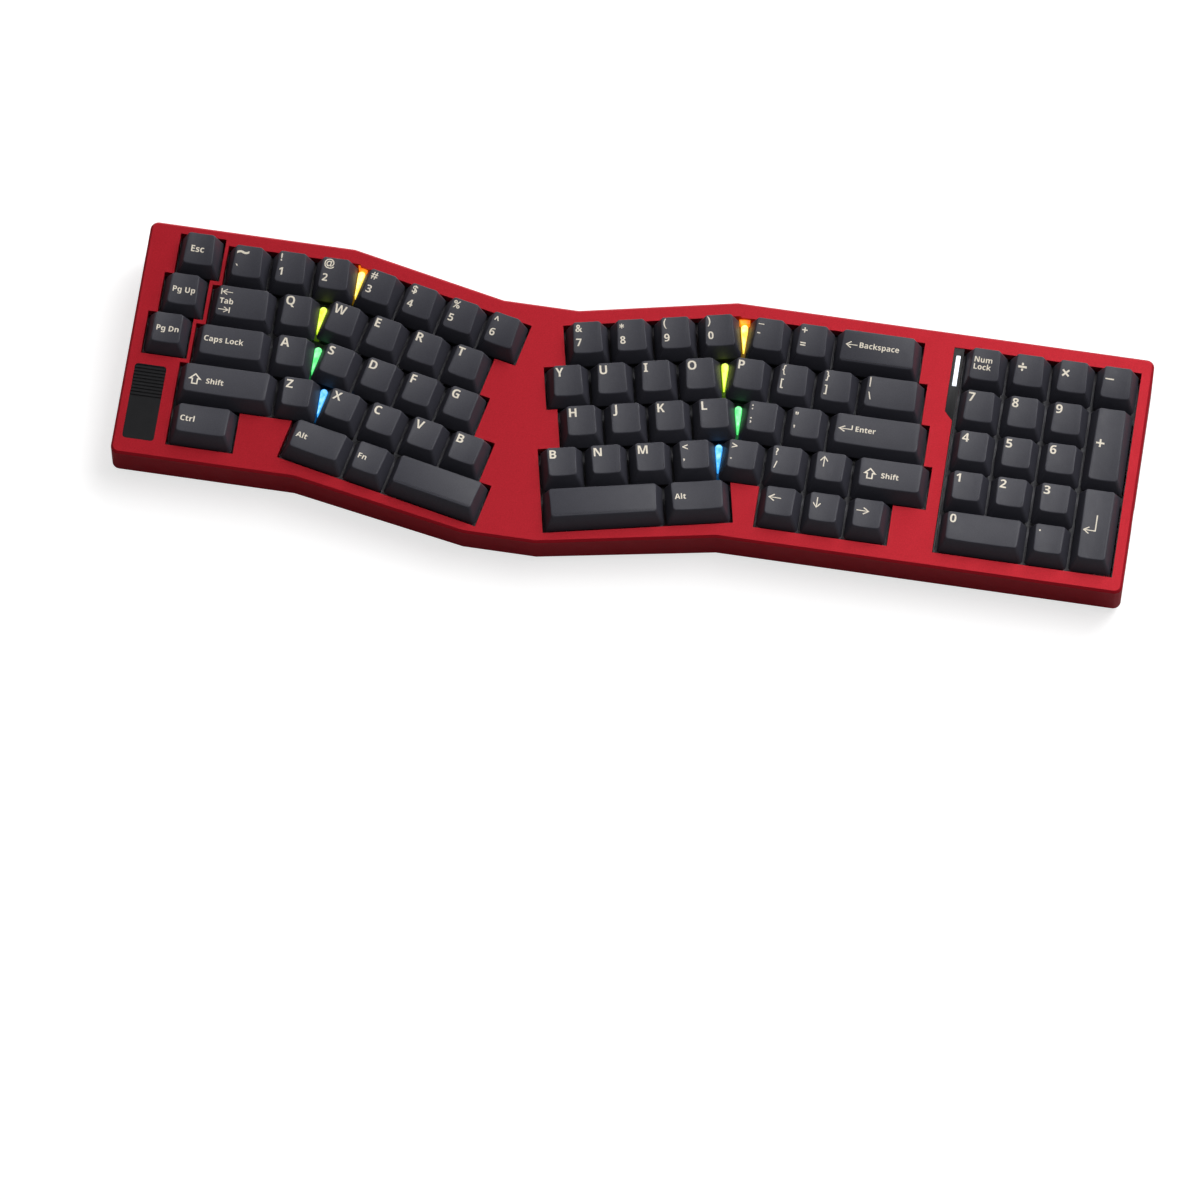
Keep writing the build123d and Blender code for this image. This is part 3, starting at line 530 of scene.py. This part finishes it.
def print_mark(cap, key, text, left, share, width, height):
    """One mark as a thin film of ink that follows the cap's top."""
    half_top = (key.width * unit - cap_gap) / 2 - side_draft
    depth = key.depth * unit - cap_gap
    rear = depth / 2 - rear_draft
    front = -depth / 2 + front_draft
    bpy.ops.object.select_all(action="DESELECT")
    bpy.ops.object.text_add()
    ink = bpy.context.object
    ink.data.body = heavy("↓" if text == "↑" else text)
    ink.data.size = height * mm / capital
    if not set(text) & set("←↑→↓") and not text[0].isalnum():
        ink.data.offset = ink_spread
    ink.data.space_line = 0.95
    ink.data.resolution_u = 3
    bpy.ops.object.convert(target="MESH")
    turn = -1 if text == "↑" else 1
    if width:
        wide, tall, _ = ink.dimensions
        ink.scale = (turn * width * mm / wide, turn * height * mm / tall, 1)
    bpy.ops.object.transform_apply(location=True, rotation=True, scale=True)
    xs = [vert.co.x for vert in ink.data.vertices]
    ys = [vert.co.y for vert in ink.data.vertices]
    middle = rear + (front - rear) * share
    ink.location = (left * mm - half_top - min(xs), middle - (max(ys) + min(ys)) / 2, print_height)
    bpy.ops.object.transform_apply(location=True, rotation=True, scale=True)
    apply(
        ink,
        "SHRINKWRAP",
        target=cap,
        wrap_method="PROJECT",
        use_project_z=True,
        use_negative_direction=True,
        use_positive_direction=False,
        offset=ink_rise,
    )
    apply(ink, "SOLIDIFY", thickness=ink_depth, offset=-1)
    bpy.ops.object.shade_flat()
    return ink


# Finishes

def linear(code):
    """A #rrggbb colour as linear light."""
    shares = [int(code[place:place + 2], 16) / 255 for place in (1, 3, 5)]
    return (
        *(share / 12.92 if share <= 0.04045 else ((share + 0.055) / 1.055) ** 2.4 for share in shares),
        1,
    )


def add(tree, kind, sockets=None, **settings):
    """Adds a node, with its settings, and its sockets given a value or a link."""
    node = tree.nodes.new(kind)
    for name, value in settings.items():
        setattr(node, name, value)
    for name, value in (sockets or {}).items():
        if isinstance(value, bpy.types.NodeSocket):
            tree.links.new(value, node.inputs[name])
        else:
            node.inputs[name].default_value = value
    return node


def start(name):
    """A new material, its empty tree, and Object coordinates in metres."""
    material = bpy.data.materials.new(name)
    material.use_nodes = True
    tree = material.node_tree
    tree.nodes.clear()
    return material, tree, add(tree, "ShaderNodeTexCoord").outputs["Object"]


def blasted_anodised_aluminium(name, dark, light, roughness, metallic, specular=0.5):
    """Bead-blasted aluminium, dyed and anodised: an even satin with a fine sparkle. The real
    grit is 0.1 mm, and is drawn 0.5 mm coarse so that it shows."""
    material, tree, place = start(name)
    grit = add(
        tree, "ShaderNodeTexNoise", {"Vector": place, "Scale": 1 / (0.5 * mm), "Detail": 3}
    ).outputs[0]
    shade = add(tree, "ShaderNodeMapRange", {0: grit, 1: 0.3, 2: 0.7}).outputs[0]
    tone = add(
        tree, "ShaderNodeMix", {0: shade, 6: linear(dark), 7: linear(light)}, data_type="RGBA"
    ).outputs[2]
    cloud = add(tree, "ShaderNodeTexNoise", {"Vector": place, "Scale": 1 / (9 * mm)}).outputs[0]
    gloss = add(
        tree, "ShaderNodeMapRange", {0: cloud, 3: roughness - 0.08, 4: roughness + 0.08}
    ).outputs[0]
    bump = add(
        tree, "ShaderNodeBump", {"Height": grit, "Distance": 0.03 * mm, "Strength": 0.5}
    ).outputs[0]
    sockets = {"Base Color": tone, "Metallic": metallic, "Roughness": gloss, "Normal": bump}
    sockets["Specular IOR Level"] = specular
    shader = add(tree, "ShaderNodeBsdfPrincipled", sockets)
    add(tree, "ShaderNodeOutputMaterial", {"Surface": shader.outputs[0]})
    return material


def moulded_plastic(name, dark, light, roughness, depth, specular=0.5):
    """Moulded plastic with the fine etched texture of its tool, 0.35 mm across, which breaks up
    the highlights. Its gloss varies a little over 4 mm, as worn plastic does."""
    material, tree, place = start(name)
    etching = add(
        tree, "ShaderNodeTexNoise", {"Vector": place, "Scale": 1 / (0.35 * mm), "Detail": 3}
    ).outputs[0]
    shade = add(tree, "ShaderNodeMapRange", {0: etching, 1: 0.3, 2: 0.7}).outputs[0]
    tone = add(
        tree, "ShaderNodeMix", {0: shade, 6: linear(dark), 7: linear(light)}, data_type="RGBA"
    ).outputs[2]
    wear = add(tree, "ShaderNodeTexNoise", {"Vector": place, "Scale": 1 / (4 * mm)}).outputs[0]
    gloss = add(
        tree, "ShaderNodeMapRange", {0: wear, 3: roughness - 0.1, 4: roughness + 0.1}
    ).outputs[0]
    bump = add(
        tree, "ShaderNodeBump", {"Height": etching, "Distance": depth * mm, "Strength": 0.6}
    ).outputs[0]
    sockets = {"Base Color": tone, "Roughness": gloss, "Normal": bump}
    sockets["Specular IOR Level"] = specular
    shader = add(tree, "ShaderNodeBsdfPrincipled", sockets)
    add(tree, "ShaderNodeOutputMaterial", {"Surface": shader.outputs[0]})
    return material


def brushed_aluminium(name, dark, light):
    """Aluminium brushed lengthwise and anodised: fine lines along x that stretch the highlights."""
    material, tree, place = start(name)
    lines = add(tree, "ShaderNodeMapping", {"Vector": place, "Scale": (0.02, 1, 1)}).outputs[0]
    brushing = add(
        tree, "ShaderNodeTexNoise", {"Vector": lines, "Scale": 1 / (0.35 * mm), "Detail": 4}
    ).outputs[0]
    shade = add(tree, "ShaderNodeMapRange", {0: brushing, 1: 0.3, 2: 0.7}).outputs[0]
    tone = add(
        tree, "ShaderNodeMix", {0: shade, 6: linear(dark), 7: linear(light)}, data_type="RGBA"
    ).outputs[2]
    gloss = add(tree, "ShaderNodeMapRange", {0: shade, 3: 0.3, 4: 0.42}).outputs[0]
    bump = add(
        tree, "ShaderNodeBump", {"Height": brushing, "Distance": 0.02 * mm, "Strength": 0.5}
    ).outputs[0]
    sockets = {"Base Color": tone, "Metallic": 1, "Roughness": gloss, "Normal": bump}
    shader = add(tree, "ShaderNodeBsdfPrincipled", sockets)
    add(tree, "ShaderNodeOutputMaterial", {"Surface": shader.outputs[0]})
    return material


def plated_steel(name, dark, light, roughness):
    """Drawn and plated steel: bright, with faint clouds of wear 2 mm across."""
    material, tree, place = start(name)
    clouds = add(
        tree, "ShaderNodeTexNoise", {"Vector": place, "Scale": 1 / (2 * mm), "Detail": 4}
    ).outputs[0]
    shade = add(tree, "ShaderNodeMapRange", {0: clouds, 1: 0.3, 2: 0.7}).outputs[0]
    tone = add(
        tree, "ShaderNodeMix", {0: shade, 6: linear(dark), 7: linear(light)}, data_type="RGBA"
    ).outputs[2]
    gloss = add(
        tree, "ShaderNodeMapRange", {0: shade, 3: roughness - 0.06, 4: roughness + 0.08}
    ).outputs[0]
    shader = add(
        tree, "ShaderNodeBsdfPrincipled", {"Base Color": tone, "Metallic": 1, "Roughness": gloss}
    )
    add(tree, "ShaderNodeOutputMaterial", {"Surface": shader.outputs[0]})
    return material


def cast_foam(name, dark, light):
    """Foam sheet: open cells about 0.6 mm across, quite without gloss."""
    material, tree, place = start(name)
    cells = add(
        tree, "ShaderNodeTexVoronoi", {"Vector": place, "Scale": 1 / (0.6 * mm)}
    ).outputs["Distance"]
    tone = add(
        tree, "ShaderNodeMix", {0: cells, 6: linear(dark), 7: linear(light)}, data_type="RGBA"
    ).outputs[2]
    bump = add(tree, "ShaderNodeBump", {"Height": cells, "Distance": 0.15 * mm}).outputs[0]
    shader = add(
        tree, "ShaderNodeBsdfPrincipled", {"Base Color": tone, "Roughness": 0.95, "Normal": bump}
    )
    add(tree, "ShaderNodeOutputMaterial", {"Surface": shader.outputs[0]})
    return material


def moulded_rubber(name):
    """Moulded rubber: matt black with a slight bloom 3 mm across, and a grained skin."""
    material, tree, place = start(name)
    bloom = add(
        tree, "ShaderNodeTexNoise", {"Vector": place, "Scale": 1 / (3 * mm), "Detail": 4}
    ).outputs[0]
    tone = add(
        tree, "ShaderNodeMix", {0: bloom, 6: linear("#151517"), 7: linear("#232327")}, data_type="RGBA"
    ).outputs[2]
    skin = add(tree, "ShaderNodeTexNoise", {"Vector": place, "Scale": 1 / (0.3 * mm)}).outputs[0]
    bump = add(
        tree, "ShaderNodeBump", {"Height": skin, "Distance": 0.03 * mm, "Strength": 0.5}
    ).outputs[0]
    shader = add(
        tree, "ShaderNodeBsdfPrincipled", {"Base Color": tone, "Roughness": 0.72, "Normal": bump}
    )
    add(tree, "ShaderNodeOutputMaterial", {"Surface": shader.outputs[0]})
    return material


def polished_acrylic(name, dark, light):
    """Polished plastic: deep gloss with the faint waviness and the dust of its moulding."""
    material, tree, place = start(name)
    dust = add(
        tree, "ShaderNodeTexNoise", {"Vector": place, "Scale": 1 / (1.5 * mm), "Detail": 4}
    ).outputs[0]
    tone = add(
        tree, "ShaderNodeMix", {0: dust, 6: linear(dark), 7: linear(light)}, data_type="RGBA"
    ).outputs[2]
    gloss = add(tree, "ShaderNodeMapRange", {0: dust, 3: 0.1, 4: 0.2}).outputs[0]
    waves = add(tree, "ShaderNodeTexNoise", {"Vector": place, "Scale": 1 / (8 * mm)}).outputs[0]
    bump = add(
        tree, "ShaderNodeBump", {"Height": waves, "Distance": 0.02 * mm, "Strength": 0.4}
    ).outputs[0]
    sockets = {"Base Color": tone, "Roughness": gloss, "Specular IOR Level": 0.25, "Normal": bump}
    shader = add(tree, "ShaderNodeBsdfPrincipled", sockets)
    add(tree, "ShaderNodeOutputMaterial", {"Surface": shader.outputs[0]})
    return material


def lit_acrylic_and_painted_glow(name, edge, core, strength):
    """Clear acrylic lit from below: cloudy, so that its light varies over 2.5 mm. It also gives the
    guides' frames their painted glow.
    """
    material, tree, place = start(name)
    clouds = add(
        tree, "ShaderNodeTexNoise", {"Vector": place, "Scale": 1 / (2.5 * mm), "Detail": 1}
    ).outputs[0]
    shade = add(tree, "ShaderNodeMapRange", {0: clouds, 1: 0.3, 2: 0.7}).outputs[0]
    glow = add(
        tree, "ShaderNodeMix", {0: shade, 6: linear(edge), 7: linear(core)}, data_type="RGBA"
    ).outputs[2]
    sockets = {
        "Base Color": glow,
        "Roughness": 0.3,
        "Emission Color": glow,
        "Emission Strength": strength,
    }
    shader = add(tree, "ShaderNodeBsdfPrincipled", sockets)
    add(tree, "ShaderNodeOutputMaterial", {"Surface": shader.outputs[0]})
    return material


def solder_mask(name):
    """Black-green solder mask over copper: its tracks show as a faint grid 1.27 mm apart."""
    material, tree, place = start(name)
    sockets = {"Vector": place, "Scale": 1, "Mortar Size": 0.12 * mm, "Brick Width": 2.54 * mm}
    tracks = add(tree, "ShaderNodeTexBrick", {**sockets, "Row Height": 1.27 * mm}).outputs["Fac"]
    tone = add(
        tree, "ShaderNodeMix", {0: tracks, 6: linear("#0c1813"), 7: linear("#1b3328")}, data_type="RGBA"
    ).outputs[2]
    shader = add(tree, "ShaderNodeBsdfPrincipled", {"Base Color": tone, "Roughness": 0.35})
    add(tree, "ShaderNodeOutputMaterial", {"Surface": shader.outputs[0]})
    return material


def paint(piece, *materials):
    piece.data.materials.clear()
    for material in materials:
        piece.data.materials.append(material)


red_case = blasted_anodised_aluminium(
    "red bead-blasted anodised aluminium", "#aa1624", "#bb1c2b", 0.46, 0.4, 0.2
)
black_base = blasted_anodised_aluminium(
    "black bead-blasted anodised aluminium", "#1b1a1f", "#232228", 0.5, 0.4
)
grey_bar = brushed_aluminium("brushed grey anodised aluminium", "#6d6873", "#8b8690")
cap_plastic = moulded_plastic("dark grey moulded PBT", "#36363e", "#3f3f48", 0.5, 0.03, 0.4)
legend_ink = moulded_plastic("cream dye", "#ece2cf", "#f4ebda", 0.6, 0.01)
rubber = moulded_rubber("moulded black rubber")
panel_plastic = moulded_plastic("satin black ABS", "#131315", "#18181b", 0.55, 0.02, 0.2)
trim_acrylic = polished_acrylic("polished black acrylic", "#0a0a0c", "#131316")
lens_white = lit_acrylic_and_painted_glow("white lit lens", "#dfe6f2", "#f4f8ff", 0.85)
plate_metal = blasted_anodised_aluminium("grey anodised plate", "#66666a", "#77777b", 0.5, 0.5)
board_mask = solder_mask("solder mask")
housing_nylon = moulded_plastic("black moulded nylon", "#131315", "#1b1b1e", 0.45, 0.03)
stabiliser_nylon = moulded_plastic("dark moulded nylon", "#18181b", "#202024", 0.5, 0.03)
wire_steel = plated_steel("plated spring steel", "#8c8c8e", "#b4b4b6", 0.28)
socket_nickel = plated_steel("nickel plated shell", "#84848a", "#aaaab0", 0.3)
screw_steel = plated_steel("black oxide steel", "#1c1c1f", "#2a2a2e", 0.4)
sheet_foam = cast_foam("open-cell foam", "#161617", "#2a2a2c")
strip_foam = cast_foam("closed-cell foam", "#1f1f22", "#343438")

# Each row's guide: its bright core, its glowing sides, and the frame round it, which carries the
# guide's glow as painted light, a dark tint of the guide's colour
guide_lights = [
    (
        lit_acrylic_and_painted_glow(f"{name} lit acrylic", edge, core, 1.1),
        lit_acrylic_and_painted_glow(f"{name} glowing acrylic", edge, edge, 1.3),
        # The frame's glow is painted: the guide's light round it is given off by the frame itself
        lit_acrylic_and_painted_glow(f"{name} painted glow frame", shade, shade, 1),
    )
    for name, edge, core, shade in (
        ("yellow", "#ffd84a", "#fff2a6", "#5a4206"),
        ("lime", "#c8ea34", "#ecfb7c", "#36500a"),
        ("green", "#52d873", "#9cf5b0", "#0a5222"),
        ("blue", "#3ea2ee", "#8ed0fb", "#08385e"),
    )
]
orange_light = lit_acrylic_and_painted_glow("orange lit acrylic", "#d95f00", "#ff9a1e", 1.1)

for node, material in (
    ("switch_plate", plate_metal),
    ("circuit_board", board_mask),
    ("switch_housings", housing_nylon),
    ("stabiliser_housings", stabiliser_nylon),
    ("stabiliser_wires", wire_steel),
    ("gasket_strips", strip_foam),
    ("case_foam", sheet_foam),
    ("case_screws", screw_steel),
):
    paint(nodes[node], material)

for node, material, slot, width in (
    ("top_case", red_case, "red_anodised_aluminium", 0.25),
    ("bottom_case", red_case, "red_anodised_aluminium", 0.25),
    ("base_plate", black_base, "black_anodised_aluminium", 0.2),
    ("ribbed_bar", grey_bar, "brushed_bar", 0.12),
    ("badge_panel", panel_plastic, "ridged_panel", 0.12),
    ("indicator_trim", trim_acrylic, "gloss_black_trim", 0.15),
    ("indicator_lens", lens_white, "indicator_lens", 0.25),
    ("usb_socket", socket_nickel, "socket_metal", 0.05),
    ("rubber_feet", rubber, "rubber_feet", 0.4),
    ("front_pad", rubber, "rubber_feet", 0.3),
):
    piece = soften(node, width * mm)
    paint(piece, material)

# Light guides, one colour to a row
wedges = [(left_ends[row], left_fan, left_fan_ends[row], row, 1) for row in range(4)]
wedges += [(right_ends[row][0], right_fan, right_fan_ends[row], row, -1) for row in range(4)]
drop = model_guide()
head = wedge("head", *orange_head)
for block_x, fan, fan_x, row, side in wedges:
    corner = fan @ Vector((fan_x, fan_y(row) + unit / 2, 0))
    lean = math.tan(fan_turn) * side
    rear = row_y(row) + unit / 2 - guide_start
    head_y = rear - guide_head
    head_x = (block_x + corner.x - (corner.y - head_y) * lean) / 2
    place = Matrix.Translation((head_x, head_y, -plate_depth))
    place = place @ Matrix.Rotation(-math.atan(lean / 2), 4, "Z")
    pieces = [(drop, f"light_guide_{'left' if side > 0 else 'right'}_{row}", guide_lights[row])]
    if row == 0:
        pieces.append((head, f"light_head_{'left' if side > 0 else 'right'}", [orange_light]))
    for shape, name, materials in pieces:
        guide = shape.copy()
        guide.data = shape.data.copy()
        guide.name = name
        bpy.context.scene.collection.objects.link(guide)
        guide.data.transform(deck @ place)
        if shape is head:
            paint(guide, *materials)
        else:
            for slot, material in enumerate(materials):
                guide.data.materials[slot] = material
        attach(guide, "case")
        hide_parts("light_guides")
bpy.data.objects.remove(drop)
bpy.data.objects.remove(head)


# Caps: each shape is modelled once, then copied to its places and printed

shapes = {}
for key in keys:
    kind = (key.width, key.depth, key.row, "space" in key.node)
    if kind not in shapes:
        shapes[kind] = model_cap(key)
        paint(shapes[kind], cap_plastic)
    cap = shapes[kind].copy()
    cap.data = shapes[kind].data.copy()
    cap.name = key.name
    bpy.context.scene.collection.objects.link(cap)
    marks = []
    for mark in legend_marks(key):
        ink = print_mark(cap, key, *mark)
        paint(ink, legend_ink)
        marks.append(ink)
    if marks:
        join([cap, *marks])
    cap.data.transform(deck @ key.field @ Matrix.Translation((key.x, key.y, 0)))
    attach(cap, key.node)
    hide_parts(key.node)
for shape in shapes.values():
    bpy.data.objects.remove(shape)


# Floor, lights and camera

floor_size = 30
floor_gap = 0.2 * mm
paper_glow = 0.7
room_light = 0.14

bpy.ops.object.select_all(action="DESELECT")
bpy.ops.mesh.primitive_plane_add(size=floor_size, location=(0, 0, -floor_gap))
floor = bpy.context.object
floor.name = "floor"
paper = bpy.data.materials.new("white paper sweep")
paper.use_nodes = True
tree = paper.node_tree
tree.nodes.clear()
# Seen by the camera, the paper is white but for its shadows. Seen from below, it is left clear.
seen = add(tree, "ShaderNodeLightPath").outputs["Is Camera Ray"]
tone = add(
    tree, "ShaderNodeMix", {0: seen, 6: linear("#9c9c9e"), 7: linear("#c0c0c0")}, data_type="RGBA"
)
matt = add(tree, "ShaderNodeBsdfDiffuse", {"Color": tone.outputs[2]})
lift = add(tree, "ShaderNodeMath", {0: seen, 1: paper_glow}, operation="MULTIPLY")
white = add(tree, "ShaderNodeEmission", {"Color": linear("#ffffff"), "Strength": lift.outputs[0]})
above = add(tree, "ShaderNodeAddShader", {0: matt.outputs[0], 1: white.outputs[0]})
below = add(tree, "ShaderNodeBsdfTransparent")
side = add(tree, "ShaderNodeNewGeometry").outputs["Backfacing"]
sided = add(tree, "ShaderNodeMixShader", {0: side, 1: above.outputs[0], 2: below.outputs[0]})
add(tree, "ShaderNodeOutputMaterial", {"Surface": sided.outputs[0]})
paint(floor, paper)

world = bpy.data.worlds.new("studio")
bpy.context.scene.world = world
world.use_nodes = True
tree = world.node_tree
tree.nodes.clear()
seen = add(tree, "ShaderNodeLightPath").outputs["Is Camera Ray"]
strength = add(tree, "ShaderNodeMapRange", {0: seen, 3: room_light, 4: 1.0}).outputs[0]
room = add(tree, "ShaderNodeBackground", {"Color": linear("#ffffff"), "Strength": strength})
add(tree, "ShaderNodeOutputWorld", {"Surface": room.outputs[0]})


def softbox(name, place, target, width, height, power):
    """A square lamp turned to face a point."""
    lamp = bpy.data.lights.new(name, "AREA")
    lamp.shape = "RECTANGLE"
    lamp.size = width
    lamp.size_y = height
    lamp.energy = power
    holder = bpy.data.objects.new(name, lamp)
    bpy.context.scene.collection.objects.link(holder)
    way = Vector(place) - Vector(target)
    holder.matrix_world = Matrix.Translation(place) @ way.to_track_quat("Z", "Y").to_matrix().to_4x4()
    holder.visible_camera = False


softbox("rear softbox", (0.8, 1.5, 1.9), (0, 0, 0), 2.0, 1.4, 34)
softbox("overhead softbox", (0.7, 0.3, 1.8), (0.1, 0, 0), 1.2, 1.0, 16)
softbox("rear strip", (0, 1.5, 0.25), (0, 0, 0.02), 1.8, 0.4, 12)

# The camera of the photograph, fitted to the grid of caps in the deck's own frame
camera_right = Vector((0.98849538, 0.15123866, -0.00193599))
camera_down = Vector((0.13965319, -0.91753879, -0.37231648))
camera_forward = Vector((-0.058085, 0.36776275, -0.92810382))
camera_place = Vector((0.27622 + case_width / 2, -1.84366, 4.42208))
image_side = 1200
focal_length = 11114.49
sensor_width = 36
camera_data = bpy.data.cameras.new("camera")
camera_data.sensor_width = sensor_width
camera_data.lens = focal_length / image_side * sensor_width
camera_data.clip_end = 50
camera = bpy.data.objects.new("camera", camera_data)
bpy.context.scene.collection.objects.link(camera)
turn = Matrix((camera_right, -camera_down, -camera_forward)).transposed().to_4x4()
camera.matrix_world = deck @ Matrix.Translation(camera_place) @ turn
bpy.context.scene.camera = camera

bpy.context.scene.view_settings.view_transform = "Standard"
